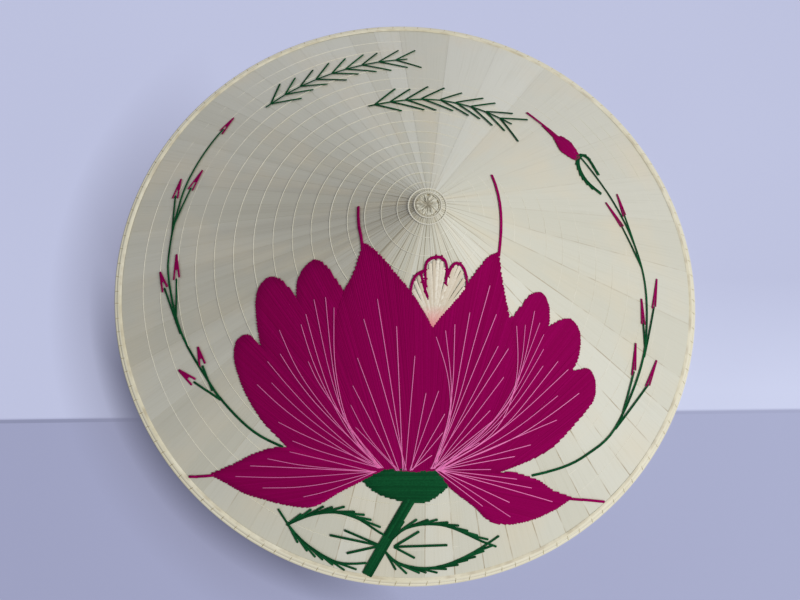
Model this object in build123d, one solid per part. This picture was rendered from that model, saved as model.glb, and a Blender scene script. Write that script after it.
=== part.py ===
import os
from math import atan2, cos, degrees, pi, radians, sin

from build123d import *

# Conical palm-leaf hat. The origin is the middle of the rim's resting plane and
# +Z runs up the cone to the tip. The lotus faces -Y. All sizes in mm and degrees.

# The lay cone is the inner face of the leaves, which the bamboo hoops carry.
lay_radius = 200.6          # lay cone where it meets the resting plane
lay_height = 142.4          # lay cone's point above the resting plane
leaf_thickness = 0.6        # one layer of ironed palm leaf
layer_gap = 0.1             # air between the inner and the outer layer
leaf_count = 16             # leaves round the hat in each layer
leaf_seam = 0.3             # gap between two leaves, measured at the rim
leaf_lift = 0.8             # leaf edges end this high above the resting plane
leaf_top = 6.6              # leaves start this far down the slope from the lay cone's point

hoop_count = 15             # rods above the rim hoop
first_hoop = 18.8           # smallest rod, down the slope from the lay cone's point
last_hoop_to_rim = 24.0     # largest rod to the lay cone's edge, along the slope
hoop_width = 2.6            # rod section along the slope
hoop_depth = 2.0            # rod section across the slope
hoop_corner = 0.7
hoop_gap_growth = 0.074     # each gap is this share of the first one wider than the last
hoop_widest_gap = 1.6       # where the gaps stop growing, in first gaps
seat_clearance = 0.1        # between a piece and what it is tied to

rim_hoop_width = 6.0        # bamboo strip inside the leaf edge
rim_hoop_depth = 2.2
rim_band_width = 5.0        # split bamboo outside the leaf edge
rim_band_depth = 1.3
rim_corner = 0.5
binding_pitch = 10.0        # thread ties over the outer band
binding_width = 0.8
binding_height = 0.4
binding_lift = 0.6          # ties stay this far off the resting plane

stitch_thread = 0.35        # sewing thread over every hoop
tip_ring_slants = (7.6, 11.4)   # two thread rings round the tip, down the slope
tip_ring_thread = 0.8
knot_crown = 1.5            # height of the knot's round crown
knot_tail = 2.0             # twisted ends below the leaves, inside the hat

loop_hoop_number = 13       # the rod that carries the chin-strap loops
loop_radius = 6.0
loop_thread = 1.0

yarn_height = 0.7           # embroidery yarn lying on the leaves
vein_height = 0.3           # thin thread lying on the petals
vein_width = 0.7
whisker_width = 1.7         # petal tips, drawn out in yarn
stem_width = 6.0            # lotus stem
outline_width = 1.9         # yarn outlines of leaves and heart
twig_width = 1.6            # bud sprays and top sprigs
bare_azimuth = 223.5        # no embroidery crosses this line, counted from the front

slope = atan2(lay_height, lay_radius)
stack = 2 * leaf_thickness + layer_gap
yarn_seat = stack + stitch_thread + seat_clearance
band_seat = stack + seat_clearance
band_face = band_seat + rim_band_depth
hat_radius = lay_radius + band_face / sin(slope)
motif = hat_radius / 100    # the embroidery is laid out in hundredths of the radius


def on_cone(slant, rise):
    # Radius and height, slant down from the lay cone's point, rise out from its face.
    return (slant * cos(slope) + rise * sin(slope),
            lay_height - slant * sin(slope) + rise * cos(slope))


def slant_at(height, rise):
    return (lay_height + rise * cos(slope) - height) / sin(slope)


def wall(top, low, inner, outer):
    # Section between two rises, square to the cone at the top, level at the bottom.
    return [on_cone(top, inner), on_cone(top, outer),
            on_cone(slant_at(low, outer), outer), on_cone(slant_at(low, inner), inner)]


def turn(section, arc=360.0, start=0.0):
    # Azimuth 0 is the front, -Y, and it grows towards +X.
    return Rot(0, 0, start - 90) * revolve(section, Axis.Z, revolution_arc=arc)


def section_of(corners):
    return Plane.XZ * make_face(Polyline(*corners, close=True))


def rod_section(slant, width, depth, corner):
    r, z = on_cone(slant, -seat_clearance - depth / 2)
    return Plane.XZ * Pos(r, z) * Rot(0, 0, -degrees(slope)) * RectangleRounded(width, depth, corner)


def thread_ring(slant, thread):
    # Half-round thread lying on the outer leaves.
    ring = wall_strip(slant, thread, stack, stack + thread)
    return turn(ring)


def wall_strip(slant, width, inner, outer):
    low, high = slant - width / 2, slant + width / 2
    return section_of([on_cone(low, inner), on_cone(low, outer),
                       on_cone(high, outer), on_cone(high, inner)])


def spot(x, y):
    return (x * motif, y * motif)


def outline(*runs):
    # Closed figure on the plan: each run is a curve, runs meet at corners.
    edges = []
    for run in runs:
        points = [spot(*p) for p in run]
        edges.append(Spline(*points) if len(points) > 2 else Line(*points))
    return make_face(edges)


def strip(points, width):
    # Yarn of one width along a curve on the plan.
    points = [spot(*p) for p in points]
    path = Spline(*points) if len(points) > 2 else Line(*points)
    return trace(path, line_width=width)


vein_seat = yarn_seat + yarn_height
yarn_shell = turn(section_of(wall(leaf_top, leaf_lift, yarn_seat, vein_seat)), start=bare_azimuth)
vein_shell = turn(section_of(wall(leaf_top, leaf_lift, vein_seat, vein_seat + vein_height)),
                  start=bare_azimuth)


def sewn(sketch, shell=yarn_shell):
    # The plan figure raised through the cone and kept where the shell of yarn lies.
    column = extrude(sketch, amount=lay_height + stack + yarn_height + vein_height)
    return (column & shell).solids()


# Frame: rods, rim hoop and rim band

def hoop_slants():
    last = slant_at(0, 0) - last_hoop_to_rim
    steps = [min(1 + hoop_gap_growth * i, hoop_widest_gap) for i in range(hoop_count - 1)]
    return [first_hoop + (last - first_hoop) * sum(steps[:i]) / sum(steps) for i in range(hoop_count)]


nodes = {}
for number, slant in enumerate(hoop_slants(), 1):
    nodes[f"hoop_{number:02d}"] = [turn(rod_section(slant, hoop_width, hoop_depth, hoop_corner))]


def rim_ring(width, inner, outer):
    corners = wall(slant_at(0, outer) - width, 0, inner, outer)
    section = section_of(corners)
    upper = section.vertices().sort_by(Axis.Z)[-2:]
    return turn(fillet(upper, rim_corner))


nodes["rim_hoop"] = [rim_ring(rim_hoop_width, -seat_clearance - rim_hoop_depth, -seat_clearance)]
nodes["rim_band"] = [rim_ring(rim_band_width, band_seat, band_face)]

tie_count = round(2 * pi * hat_radius / binding_pitch)
tie_arc = degrees(binding_width / hat_radius)
tie_top = slant_at(0, band_face) - rim_band_width
tie = section_of(wall(tie_top, binding_lift, band_face, band_face + binding_height))
nodes["rim_binding"] = [turn(tie, tie_arc, i * 360 / tie_count) for i in range(tie_count)]

# Leaves

seam_arc = degrees(leaf_seam / hat_radius)
leaf_arc = 360 / leaf_count
outer_leaf = section_of(wall(leaf_top, leaf_lift, leaf_thickness + layer_gap, stack))
inner_leaf = section_of(wall(leaf_top, leaf_lift, 0, leaf_thickness))
for i in range(leaf_count):
    nodes[f"outer_leaf_{i + 1:02d}"] = [turn(outer_leaf, leaf_arc - seam_arc, i * leaf_arc)]
sides = ("front_right", "back_right", "back_left", "front_left")
for i, side in enumerate(sides):
    share = range(i * leaf_count // len(sides), (i + 1) * leaf_count // len(sides))
    nodes[f"inner_leaves_{side}"] = [turn(inner_leaf, leaf_arc - seam_arc, (j + 0.5) * leaf_arc)
                                     for j in share]

# Tip: leaf ends twisted into a knot, and two rings of thread

throat, shoulder = (on_cone(leaf_top - seat_clearance, rise) for rise in (0, stack))
peak = (0, shoulder[1] + knot_crown)
tail = throat[1] - knot_tail
crown_radius = (shoulder[0] ** 2 + knot_crown ** 2) / (2 * knot_crown)
knot = Plane.XZ * make_face([
    Line((0, tail), (throat[0], tail)),
    Line((throat[0], tail), throat),
    Line(throat, shoulder),
    RadiusArc(shoulder, peak, -crown_radius),
    Line(peak, (0, tail))])
nodes["tip_knot"] = [turn(knot)]
nodes["tip_rings"] = [thread_ring(slant, tip_ring_thread) for slant in tip_ring_slants]

# Sewing thread over the hoops, and the loops for a chin strap

nodes["hoop_stitches"] = [thread_ring(slant, stitch_thread) for slant in hoop_slants()]

loop_seat = on_cone(hoop_slants()[int(loop_hoop_number) - 1], -2 * seat_clearance - hoop_depth)
for side, azimuth in (("right", 0), ("left", 180)):
    plane = Plane(origin=(loop_seat[0], 0, loop_seat[1]), x_dir=(0, 1, 0),
                  z_dir=(-cos(slope), 0, sin(slope)))
    half_ring = plane * Torus(loop_radius, loop_thread / 2, major_angle=180,
                              align=(Align.CENTER, Align.MIN, Align.CENTER))
    nodes[f"strap_loop_{side}"] = [Rot(0, 0, azimuth) * half_ring]

# Lotus: plan points in hundredths of the hat's radius, the lotus pointing up to the tip

left_fold = [(-22.7, -18), (-26, -30), (-25.5, -42), (-20, -56), (-12.5, -65)]
middle_fold = [(1.5, -29), (6, -40), (7, -49), (4.5, -58), (-1, -66.2)]
right_fold = [(24, -26), (26.8, -37), (25, -48), (16, -59), (3, -65.8)]
low_left_fold = [(-40, -57.5), (-28, -61.5), (-12.5, -65)]
low_right_fold = [(21.5, -67), (12, -66.7), (3, -65.8)]
calyx_left = [(-18.5, -67.6), (-12.5, -65)]
calyx_right = [(3, -65.8), (6.8, -70.2)]

petal_tall_left = outline(
    left_fold,
    [(-12.5, -65), (-1, -66.2)],
    middle_fold,
    [(1.5, -29), (-4.6, -20), (-10.5, -12.7), (-17, -6.3)],
    [(-17, -6.3), (-19.4, -13), (-22.7, -18)])
petal_tall_right = outline(
    middle_fold,
    [(-1, -66.2), (3, -65.8)],
    right_fold,
    [(24, -26), (21.5, -17), (20.4, -9)],
    [(20.4, -9), (15, -13), (9, -20.8), (1.5, -29)])
petals_side_left = outline(
    left_fold,
    low_left_fold,
    [(-40, -57.5), (-50.5, -45.5), (-56, -30), (-52.5, -24.6), (-47.3, -28.5)],
    [(-47.3, -28.5), (-48.4, -22), (-48.2, -14.5), (-44.5, -9.7), (-39, -12.8)],
    [(-39, -12.8), (-36, -18)],
    [(-36, -18), (-35.7, -13)],
    [(-35.7, -13), (-31.5, -8), (-27, -10.7), (-22.7, -18)])
petals_side_right = outline(
    right_fold,
    low_right_fold,
    [(21.5, -67), (36, -61.8), (51, -49), (53.6, -41.5), (51, -37.6)],
    [(51, -37.6), (45.2, -38.3)],
    [(45.2, -38.3), (47.6, -34)],
    [(47.6, -34), (47.6, -27.5), (43.6, -23.8), (40, -24.8)],
    [(40, -24.8), (36.6, -27)],
    [(36.6, -27), (37, -22.5)],
    [(37, -22.5), (33.5, -17.8), (28.7, -20.8), (24, -26)])
petal_low_left = outline(
    low_left_fold,
    [(-12.5, -65), (-18.5, -67.6)],
    [(-18.5, -67.6), (-28, -72.4), (-37, -74.4), (-52, -70.5), (-66, -64.2)],
    [(-66, -64.2), (-53, -59), (-45, -57.2), (-40, -57.5)])
petal_low_right = outline(
    low_right_fold,
    calyx_right,
    [(6.8, -70.2), (17, -78.8), (26, -82), (37, -80.2), (47, -75.3)],
    [(47, -75.3), (37, -70.8), (30, -67.9), (21.5, -67)])
calyx = outline(
    calyx_left,
    [(-12.5, -65), (-1, -66.2)],
    [(-1, -66.2), (3, -65.8)],
    calyx_right,
    [(6.8, -70.2), (0, -74.4), (-9, -73.4), (-18.5, -67.6)])

nodes["lotus_petal_tall_left"] = (sewn(petal_tall_left)
                                  + sewn(strip([(-17.3, -5.6), (-18.2, -1), (-18, 4)], whisker_width)))
nodes["lotus_petal_tall_right"] = (sewn(petal_tall_right)
                                   + sewn(strip([(20.6, -8.4), (22, 4), (20.6, 15)], whisker_width)))
nodes["lotus_petals_side_left"] = sewn(petals_side_left)
nodes["lotus_petals_side_right"] = sewn(petals_side_right)
nodes["lotus_petal_low_left"] = (sewn(petal_low_left)
                                 + sewn(strip([(-66.8, -64), (-73, -63.6)], whisker_width)))
nodes["lotus_petal_low_right"] = (sewn(petal_low_right)
                                  + sewn(strip([(47.8, -75.4), (59, -76.7)], whisker_width)))
nodes["lotus_calyx"] = sewn(calyx)
nodes["lotus_stem"] = sewn(strip([(-4.7, -75.6), (-17.4, -94.3)], stem_width))
nodes["lotus_heart"] = [solid for points in (
    [(-4.4, -19.4), (-3.6, -17), (-0.9, -15.6)],
    [(-0.6, -19), (-0.3, -13.6), (2, -12.3), (4.6, -12.8), (4.9, -18)],
    [(5.8, -16), (8, -13.1), (10, -14.6), (10.2, -17.3)])
    for solid in sewn(strip(points, outline_width))]

# Veins: a fan of thin threads from the foot of each group of petals

vein_clear = 0.18           # where a thread starts, as a share of its way from the foot
fans = (
    ((-12.5, -65), [(-27.5, -22), (-33, -26), (-38, -28), (-43, -33), (-47, -40), (-44, -50),
                    (-38, -56), (-50, -62), (-57, -64.6), (-49, -68.5), (-36, -71.5)]),
    ((-6, -65.5), [(-20.5, -42), (-19, -35), (-17, -26), (-13.4, -21), (-8.3, -29),
                   (-3.4, -36), (-0.4, -45), (3.4, -45)]),
    ((2, -65.5), [(5, -56), (9, -42), (11.7, -26), (17.7, -18), (20.3, -33), (18.7, -50)]),
    ((3.5, -65.7), [(25.5, -50), (29, -40), (34.8, -38), (43.7, -38), (47.6, -44.6), (40.4, -52.4),
                    (32, -59.5), (26, -63), (28, -69), (33, -71.7), (39, -76), (26, -79.8)]))


def fan(foot, ends):
    for end in ends:
        start = [a + (b - a) * vein_clear for a, b in zip(foot, end)]
        yield strip([start, end], vein_width)


nodes["lotus_veins"] = [solid for foot, ends in fans for thread in fan(foot, ends)
                        for solid in sewn(thread, vein_shell)]

# Leaves, bud sprays and top sprigs: yarn lines with barbs


def barbed(points, width, barbs, length, lean, flanks=(1, -1)):
    # A yarn line with short stitches leaning along it, on one flank or both.
    path = Spline(*[spot(*p) for p in points])
    sketch = trace(path, line_width=width)
    for i in range(barbs):
        root = path @ ((i + 0.5) / barbs)
        for flank in flanks:
            tip = root + (path % ((i + 0.5) / barbs)).rotate(Axis.Z, flank * lean) * length
            sketch += trace(Line(root, tip), line_width=width)
    return sketch


leaf_barbs, leaf_barb_length, leaf_barb_lean = 7, 6.5, 22
leaf_left = barbed([(-41, -79.6), (-34, -76.9), (-25, -77), (-15.5, -82)],
                   outline_width, leaf_barbs, leaf_barb_length, leaf_barb_lean, (1,))
leaf_left += barbed([(-44.5, -74.6), (-41, -80.6), (-32, -88.6), (-20, -92.3)],
                    outline_width, leaf_barbs, leaf_barb_length, leaf_barb_lean, (-1,))
leaf_right = barbed([(-7.4, -82.9), (-2, -81.2), (8, -82.2), (22.3, -88.7)],
                    outline_width, leaf_barbs, leaf_barb_length, leaf_barb_lean, (1,))
leaf_right += barbed([(-11.5, -90.2), (-5, -93.6), (7, -93.2), (23, -85.5)],
                     outline_width, leaf_barbs, leaf_barb_length, leaf_barb_lean, (-1,))
leaf_veins = {"left": ((-15.5, -86.9), [(-29, -83), (-24.5, -81.7), (-24, -88.7)]),
              "right": ((-8.7, -87.3), [(-1.7, -83), (7, -87.5), (-3, -91)])}
for side, sketch in (("left", leaf_left), ("right", leaf_right)):
    foot, ends = leaf_veins[side]
    for end in ends:
        sketch += strip([foot, end], outline_width)
    nodes[f"leaf_{side}"] = sewn(sketch)

# A spray is a curved twig with side twigs, each with a bud at its end

sprays = {
    "left": {
        "twig": [(-45, -56), (-61, -42), (-73.5, -21.5), (-78.8, -2), (-78, 15), (-72, 36), (-63.4, 49.3)],
        "side_twigs": [[(-61, -42), (-69.6, -35.8)], [(-63.5, -39), (-66.5, -31.5)],
                       [(-74, -20.5), (-80, -5)], [(-75.5, -17), (-75.6, -3)],
                       [(-78.2, 13), (-78, 27.5)], [(-77.8, 16), (-72.3, 28.7)]],
        "buds": [((-63, 50), (-59, 55.5)), ((-70, -35.3), (-75, -31.4)), ((-66.7, -30.7), (-68, -25.5)),
                 ((-80.2, -4.2), (-82, 1)), ((-75.6, -2.2), (-76, 5.5)), ((-78, 28.3), (-76.5, 34)),
                 ((-72, 29.4), (-68.5, 34.8))]},
    "right": {
        "twig": [(33, -68), (47, -64.8), (62, -54.5), (73.5, -32), (76, -11), (71.5, 9), (58, 32)],
        "side_twigs": [[(62, -54.5), (75, -40.6)], [(64, -52), (69, -37)],
                       [(73.5, -32), (78.9, -15.5)], [(74, -30), (73.6, -21.5)],
                       [(75, -3), (68, 10.8)], [(74.6, -2), (70.4, 15)]],
        "buds": [((75.2, -39.8), (79, -32.5)), ((69.1, -36), (70, -28)), ((79.1, -14.5), (81.5, -5.5)),
                 ((73.6, -20.6), (73.5, -13.5)), ((67.5, 11.6), (63, 17.5)), ((70.3, 16), (69, 22.5))]}}
bud_width = 1.6             # in hundredths of the radius, as the points are


def bud(foot, tip):
    # A slim leaf shape: two curves that meet at the foot and at the tip.
    foot, tip = Vector(*foot), Vector(*tip)
    belly = foot + (tip - foot) * 0.4
    aside = (tip - foot).rotate(Axis.Z, 90).normalized() * bud_width / 2
    runs = [[tuple(p)[:2] for p in run] for run in
            ([foot, belly + aside, tip], [tip, belly - aside, foot])]
    return outline(*runs)


buds = []
for side, spray in sprays.items():
    twigs = strip(spray["twig"], twig_width)
    for points in spray["side_twigs"]:
        twigs += strip(points, twig_width)
    if side == "right":
        twigs += strip([(55.2, 30.2), (54, 26), (55.8, 21.6), (61.5, 20.5)], outline_width)
        twigs += strip([(57, 34.4), (59, 35.2), (62.3, 28.5)], outline_width)
    nodes[f"bud_spray_{side}"] = sewn(twigs)
    for foot, tip in spray["buds"]:
        buds += sewn(bud(foot, tip))
large_bud = outline(
    [(56, 33.6), (54.5, 38.6), (51, 41.2), (47.5, 41.2), (40, 48.5)],
    [(40, 48.5), (46.4, 41), (48.3, 35), (50.5, 32.8), (54.2, 31.6)],
    [(54.2, 31.6), (56, 33.6)])
nodes["spray_buds"] = buds + sewn(large_bud)

sprig_blades, sprig_blade_length, sprig_blade_lean = 8, 11.5, 38
sprigs = barbed([(-47.5, 56.5), (-25, 69), (1, 75)],
                twig_width, sprig_blades, sprig_blade_length, sprig_blade_lean)
sprigs += barbed([(-13.5, 46.5), (10, 49), (32, 41)],
                 twig_width, sprig_blades, sprig_blade_length, sprig_blade_lean)
nodes["top_sprigs"] = sewn(sprigs)

os.makedirs("parts", exist_ok=True)
for name, solids in nodes.items():
    shape = solids[0] if len(solids) == 1 else Compound(children=list(solids))
    shape.label = name
    export_step(shape, f"parts/{name}.step")
print(len(nodes), "nodes, hat radius", round(hat_radius, 2))
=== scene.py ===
from math import atan2, cos, hypot, pi, radians, sin, tan
from random import Random

import bmesh
import bpy
from mathutils import Matrix, Vector


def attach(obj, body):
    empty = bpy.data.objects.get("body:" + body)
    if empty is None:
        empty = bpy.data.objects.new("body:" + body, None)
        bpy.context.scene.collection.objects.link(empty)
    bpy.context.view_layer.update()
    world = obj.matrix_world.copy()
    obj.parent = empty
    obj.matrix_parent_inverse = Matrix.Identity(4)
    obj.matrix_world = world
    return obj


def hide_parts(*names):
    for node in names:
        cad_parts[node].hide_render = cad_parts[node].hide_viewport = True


# Conical palm-leaf hat with a lotus in yarn. Metres, the origin in the middle of the
# rim's resting plane, +Z up to the tip, the lotus facing -Y. Azimuth 0 is the front.

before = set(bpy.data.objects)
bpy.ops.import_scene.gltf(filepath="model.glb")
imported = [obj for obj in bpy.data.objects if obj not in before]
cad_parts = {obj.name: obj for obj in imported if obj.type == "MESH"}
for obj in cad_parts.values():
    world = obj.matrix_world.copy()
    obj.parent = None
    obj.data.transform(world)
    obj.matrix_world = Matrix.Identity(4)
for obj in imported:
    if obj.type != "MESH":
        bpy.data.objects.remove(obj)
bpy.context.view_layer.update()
scene = bpy.context.scene

hat = {
    "layRadius": 0.2006,     # cone under the leaves, where it meets the resting plane
    "layHeight": 0.1424,
    "radius": 0.20526,
    "leafTop": 0.0066,       # leaves start this far down the slope
    "leafLow": 0.0010,       # and end this high above the resting plane
    "hoops": 15,
    "firstHoop": 0.0188,     # down the slope from the lay cone's point
    "lastHoopToRim": 0.0240,
    "hoopGapGrowth": 0.074,
    "hoopWidestGap": 1.6,
}
slope = atan2(hat["layHeight"], hat["layRadius"])
unit = hat["radius"] / 100   # the embroidery is laid out in hundredths of the radius
weld = 1e-6
sharpFrom = radians(50)      # edges that turn more than this stay sharp


def around(azimuth, slant, rise):
    # A place by azimuth, distance down the slope and rise above the lay cone.
    r = slant * cos(slope) + rise * sin(slope)
    z = hat["layHeight"] - slant * sin(slope) + rise * cos(slope)
    return Vector((r * sin(azimuth), -r * cos(azimuth), z))


def over(x, y, rise):
    # The place above a point of the plan, given in hundredths of the radius.
    r = hypot(x, y) * unit
    return Vector((x * unit, y * unit, hat["layHeight"] - r * tan(slope) + rise / cos(slope)))


def slantAt(height, rise):
    # How far down the slope a face so high above the lay cone comes to this height.
    return (hat["layHeight"] + rise * cos(slope) - height) / sin(slope)


def hoopSlants():
    last = slantAt(0, 0) - hat["lastHoopToRim"]
    steps = [min(1 + hat["hoopGapGrowth"] * i, hat["hoopWidestGap"]) for i in range(hat["hoops"] - 1)]
    return [hat["firstHoop"] + (last - hat["firstHoop"]) * sum(steps[:i]) / sum(steps)
            for i in range(hat["hoops"])]


def patch(bm, across, along, place, marks=None):
    # A grid of faces whose corners go where place(u, v) says, u and v from 0 to 1.
    # Marks are values a material reads, each by its name and its own rule of u and v.
    made = bmesh.ops.create_grid(bm, x_segments=across, y_segments=along, size=0.5)
    layers = {bm.verts.layers.float.get(name): rule for name, rule in (marks or {}).items()}
    for vert in made["verts"]:
        u, v = vert.co.x + 0.5, vert.co.y + 0.5
        vert.co = place(u, v)
        for layer, rule in layers.items():
            vert[layer] = rule(u, v)


def markedMesh(*names):
    # An empty mesh with room for the named marks.
    bm = bmesh.new()
    for name in names:
        bm.verts.layers.float.new(name)
    return bm


def piece(name, bm, material, nodes):
    bmesh.ops.remove_doubles(bm, verts=bm.verts, dist=weld)
    bmesh.ops.recalc_face_normals(bm, faces=bm.faces)
    mesh = bpy.data.meshes.new(name)
    bm.to_mesh(mesh)
    bm.free()
    mesh.polygons.foreach_set("use_smooth", [True] * len(mesh.polygons))
    mesh.set_sharp_from_angle(angle=sharpFrom)
    mesh.materials.append(material)
    made = bpy.data.objects.new(name, mesh)
    scene.collection.objects.link(made)
    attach(made, "root")
    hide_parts(*nodes)


def smoothLine(points, steps):
    # A smooth line through the points, in short straight steps.
    ends = [points[0]] + list(points) + [points[-1]]
    line = []
    for a, b, c, d in zip(ends, ends[1:], ends[2:], ends[3:]):
        for k in range(steps):
            t = k / steps
            line.append(tuple(
                0.5 * (2 * q + (r - p) * t + (2 * p - 5 * q + 4 * r - s) * t ** 2
                       + (3 * q - p - 3 * r + s) * t ** 3)
                for p, q, r, s in zip(a, b, c, d)))
    return line + [tuple(points[-1])]


def between(a, b, share):
    return (a[0] + (b[0] - a[0]) * share, a[1] + (b[1] - a[1]) * share)


def evenLine(line, pitch):
    # The same line with its points an even pitch apart.
    total = sum(hypot(b[0] - a[0], b[1] - a[1]) for a, b in zip(line, line[1:]))
    count = max(2, round(total / pitch))
    spread, walked, wanted = [line[0]], 0.0, total / count
    for a, b in zip(line, line[1:]):
        step = hypot(b[0] - a[0], b[1] - a[1])
        while step and walked + step >= wanted * len(spread) - 1e-9 and len(spread) < count:
            t = (wanted * len(spread) - walked) / step
            spread.append(between(a, b, t))
        walked += step
    return spread + [line[-1]]


def toward(a, b, reach):
    # The point so far from a on the way to b.
    run = hypot(b[0] - a[0], b[1] - a[1]) or 1.0
    return between(a, b, reach / run)


def eased(points, rounds):
    # The line with its corners cut, again and again, and its two ends kept.
    line = list(points)
    for _ in range(rounds):
        cut = [line[0]]
        for a, b in zip(line, line[1:]):
            cut += [between(a, b, 0.25), between(a, b, 0.75)]
        line = cut + [line[-1]]
    return line


def thread(bm, line, width, height, seat, sides=6, blunt=0.18):
    # A thread lying on the hat along a line of the plan, closed at both ends.
    line = [line[0], toward(line[0], line[1], blunt), *line[1:-1],
            toward(line[-1], line[-2], blunt), line[-1]]
    last = len(line) - 1

    def place(u, v):
        k = round(v * last)
        a, b = line[max(k - 1, 0)], line[min(k + 1, last)]
        run = hypot(b[0] - a[0], b[1] - a[1]) or 1.0
        full = 0.0 if k in (0, last) else 1.0
        aside = cos(2 * pi * u) * width / 2 / unit * full / run
        rise = seat + height * (0.5 + 0.5 * sin(2 * pi * u) * full)
        return over(line[k][0] + (b[1] - a[1]) * aside, line[k][1] - (b[0] - a[0]) * aside, rise)

    patch(bm, sides, last, place)


# Materials: colours as they look in plain light, apart from the painted light and shade noted below,
# patterns sized in metres


def paint(code):
    parts = [int(code[i:i + 2], 16) / 255 for i in (1, 3, 5)]
    return tuple(c / 12.92 if c <= 0.04045 else ((c + 0.055) / 1.055) ** 2.4 for c in parts) + (1.0,)


def add(tree, kind, settings=None, inputs=None):
    # One node, with its settings and its inputs: a value, or another node's output.
    node = tree.nodes.new(kind)
    for key, value in (settings or {}).items():
        setattr(node, key, value)
    for key, value in (inputs or {}).items():
        if isinstance(value, bpy.types.NodeSocket):
            tree.links.new(value, node.inputs[key])
        else:
            node.inputs[key].default_value = value
    return node


def blank(name):
    material = bpy.data.materials.new(name)
    material.use_nodes = True
    return material, material.node_tree


def coated(material, base, roughness, specular=0.5, bump=None):
    # The material with its colour and shine, and a bump: what it follows, strength, height.
    tree = material.node_tree
    shader = tree.nodes["Principled BSDF"]
    tree.links.new(base, shader.inputs["Base Color"])
    shader.inputs["Roughness"].default_value = roughness
    shader.inputs["Specular IOR Level"].default_value = specular
    if bump:
        relief = add(tree, "ShaderNodeBump", {}, dict(zip(("Height", "Strength", "Distance"), bump)))
        tree.links.new(relief.outputs["Normal"], shader.inputs["Normal"])
    return material


def mixed(tree, factor, first, second, blend="MIX"):
    return add(tree, "ShaderNodeMix", {"data_type": "RGBA", "blend_type": blend}, {
        0: factor, 6: first, 7: second}).outputs[2]


def figure(tree, operation, *values):
    return add(tree, "ShaderNodeMath", {"operation": operation}, dict(enumerate(values))).outputs[0]


def times(tree, first, second):
    return figure(tree, "MULTIPLY", first, second)


def ranged(tree, value, low, high, toLow=0.0, toHigh=1.0):
    return add(tree, "ShaderNodeMapRange", {}, {
        "Value": value, "From Min": low, "From Max": high,
        "To Min": toLow, "To Max": toHigh}).outputs["Result"]


def mark(tree, name):
    return add(tree, "ShaderNodeAttribute", {"attribute_name": name}).outputs["Fac"]


def noise(tree, vector, scale, detail=2.0):
    return add(tree, "ShaderNodeTexNoise", {}, {
        "Vector": vector, "Scale": scale, "Detail": detail}).outputs["Fac"]


def grained(tree, x, y, scales, detail=2.0):
    # Noise over two values, each with its own scale, so that it can run long and thin.
    parts = [times(tree, value, scale) for value, scale in zip((x, y), scales)]
    vector = add(tree, "ShaderNodeCombineXYZ", {}, {"X": parts[0], "Y": parts[1]}).outputs[0]
    return noise(tree, vector, 1.0, detail)


leafLook = {
    "light": "#d7d6c8",
    "dark": "#cdcbba",
    "warm": "#dccfb2",
    "seam": "#9a8868",
    # colour of the painted shade in the creases round the tip
    "fold": "#84785c",
    "foldPitch": 0.0225,     # across the leaf, between the creases round the tip
    "foldWidth": 0.00030,
    "foldDepth": 0.8,
    "seamFrom": 0.0001,      # the seam's line is full this near the edge
    "seamTo": 0.0005,
    # colour of the painted shade on the leaves at the left and nearer the tip
    "shade": "#a9a496",
    "shadeLeast": 0.55,      # how much of the painted shade in a band is even, the rest comes and goes
    "cloudDepth": 0.45,
    "grainDepth": 0.18,
    "roughness": 0.42,
    "acrossPerRadian": 0.16,   # the across mark, by the turn round the hat
    # Scales of the noises, across and along the leaf
    "fibres": (900.0, 12.0),
    "stripes": (90.0, 3.0),
    "clouds": (26.0, 14.0),
    "breaks": (300.0, 60.0),
    "drift": (28.0, 3.0),
    "fading": (130.0, 40.0),
}


def foldLines(tree, across, along, look):
    # Painted shade in the creases: thin dark lines that run down from the tip, unevenly spaced, as wide
    # near it as far off.
    drift = grained(tree, across, along, look["drift"])
    turns = figure(tree, "MULTIPLY_ADD", across, 1 / look["foldPitch"], drift)
    turns = figure(tree, "MULTIPLY_ADD", drift, 0.6, turns)
    away = times(tree, figure(tree, "PINGPONG", turns, 0.5), along)
    reach = look["foldWidth"] / (look["foldPitch"] / look["acrossPerRadian"] * cos(slope))
    line = ranged(tree, away, reach * 0.3, reach, look["foldDepth"], 0.0)
    fading = ranged(tree, grained(tree, across, along, look["fading"]), 0.35, 0.6, 0.35)
    return times(tree, line, fading)


def seamLines(tree, across, along, look):
    # Broken lines along the edges of the strips, fainter round the tip.
    broken = ranged(tree, grained(tree, across, along, look["breaks"]), 0.35, 0.6)
    line = ranged(tree, mark(tree, "edge"), look["seamFrom"], look["seamTo"], 1.0, 0.0)
    line = times(tree, times(tree, line, broken), mark(tree, "seam"))
    return times(tree, line, ranged(tree, along, 0.02, 0.08, 0.3))


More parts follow.
